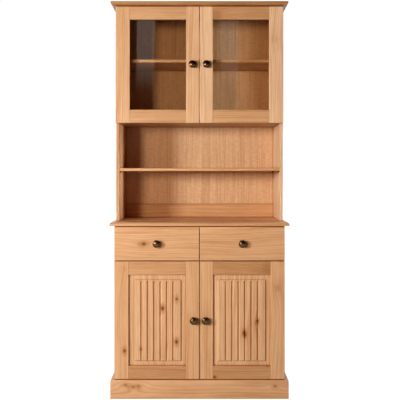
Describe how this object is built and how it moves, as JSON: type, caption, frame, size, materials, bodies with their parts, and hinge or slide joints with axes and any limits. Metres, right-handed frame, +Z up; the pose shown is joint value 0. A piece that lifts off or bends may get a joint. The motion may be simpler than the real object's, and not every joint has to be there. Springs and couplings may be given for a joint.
{
  "type": "buffet cabinet",
  "caption": "Pine dresser in two parts: a base with drawers and fluted panel doors, and a hutch with an open bay under glazed doors.",
  "frame": {"origin": "on the floor under the middle of the whole cabinet, knobs included", "axes": "+Z up, front towards -Y, +X to the right as seen from the front"},
  "size_m": [0.9, 0.412, 2],
  "materials": {
    "pine": "honey-coloured solid pine, satin lacquer",
    "plywood": "pine-faced plywood, satin lacquer",
    "bronze": "dark antique bronze, worn bright on the dome",
    "steel": "nickel-plated steel",
    "dark_pin": "dark bronzed metal",
    "catch": "brown plastic with a magnet inside",
    "glass": "clear float glass"
  },
  "bodies": {
    "cabinet": {"back_rail": "pine", "base_back": "plywood", "base_floor": "pine", "base_shelf": "pine", "base_side_left": "pine", "base_side_right": "pine", "cabinet_floor": "pine", "carcass_dowels": "pine", "cornice": "pine", "counter_rails": "pine", "counter_top": "pine", "door_catches": "catch", "drawer_deck": "pine", "drawer_partition": "pine", "drawer_runners": "pine", "glass_cabinet_shelf": "pine", "hinge_arms": "steel", "hinge_plates": "steel", "hutch_back": "plywood", "hutch_side_left": "pine", "hutch_side_right": "pine", "open_shelf": "pine", "plinth_blocks": "pine", "plinth_front": "pine", "plinth_left": "pine", "plinth_right": "pine", "shelf_pins": "dark_pin"},
    "left_glass_door": {"left_glass_door_fittings": "steel", "left_glass_door_glass": "glass", "left_glass_door_glazing_beads": "pine", "left_glass_door_knob": "bronze", "left_glass_door_rails": "pine", "left_glass_door_stiles": "pine"},
    "right_glass_door": {"right_glass_door_fittings": "steel", "right_glass_door_glass": "glass", "right_glass_door_glazing_beads": "pine", "right_glass_door_knob": "bronze", "right_glass_door_rails": "pine", "right_glass_door_stiles": "pine"},
    "left_base_door": {"left_base_door_fittings": "steel", "left_base_door_knob": "bronze", "left_base_door_panel": "pine", "left_base_door_rails": "pine", "left_base_door_stiles": "pine"},
    "right_base_door": {"right_base_door_fittings": "steel", "right_base_door_knob": "bronze", "right_base_door_panel": "pine", "right_base_door_rails": "pine", "right_base_door_stiles": "pine"},
    "left_drawer": {"left_drawer_back": "pine", "left_drawer_bottom": "plywood", "left_drawer_front": "pine", "left_drawer_knob": "bronze", "left_drawer_sides": "pine"},
    "right_drawer": {"right_drawer_back": "pine", "right_drawer_bottom": "plywood", "right_drawer_front": "pine", "right_drawer_knob": "bronze", "right_drawer_sides": "pine"}
  },
  "joints": [
    {"name": "left_glass_door_hinge", "type": "hinge", "parent": "cabinet", "child": "left_glass_door", "pos_m": [-0.4185, -0.113, 0], "axis": [0, 0, -1], "range_deg": [0, 95]},
    {"name": "right_glass_door_hinge", "type": "hinge", "parent": "cabinet", "child": "right_glass_door", "pos_m": [0.4185, -0.113, 0], "axis": [0, 0, 1], "range_deg": [0, 95]},
    {"name": "left_base_door_hinge", "type": "hinge", "parent": "cabinet", "child": "left_base_door", "pos_m": [-0.4185, -0.169, 0], "axis": [0, 0, -1], "range_deg": [0, 95]},
    {"name": "right_base_door_hinge", "type": "hinge", "parent": "cabinet", "child": "right_base_door", "pos_m": [0.4185, -0.169, 0], "axis": [0, 0, 1], "range_deg": [0, 95]},
    {"name": "left_drawer_slide", "type": "slide", "parent": "cabinet", "child": "left_drawer", "axis": [0, -1, 0], "range_m": [0, 0.25]},
    {"name": "right_drawer_slide", "type": "slide", "parent": "cabinet", "child": "right_drawer", "axis": [0, -1, 0], "range_m": [0, 0.25]}
  ]
}
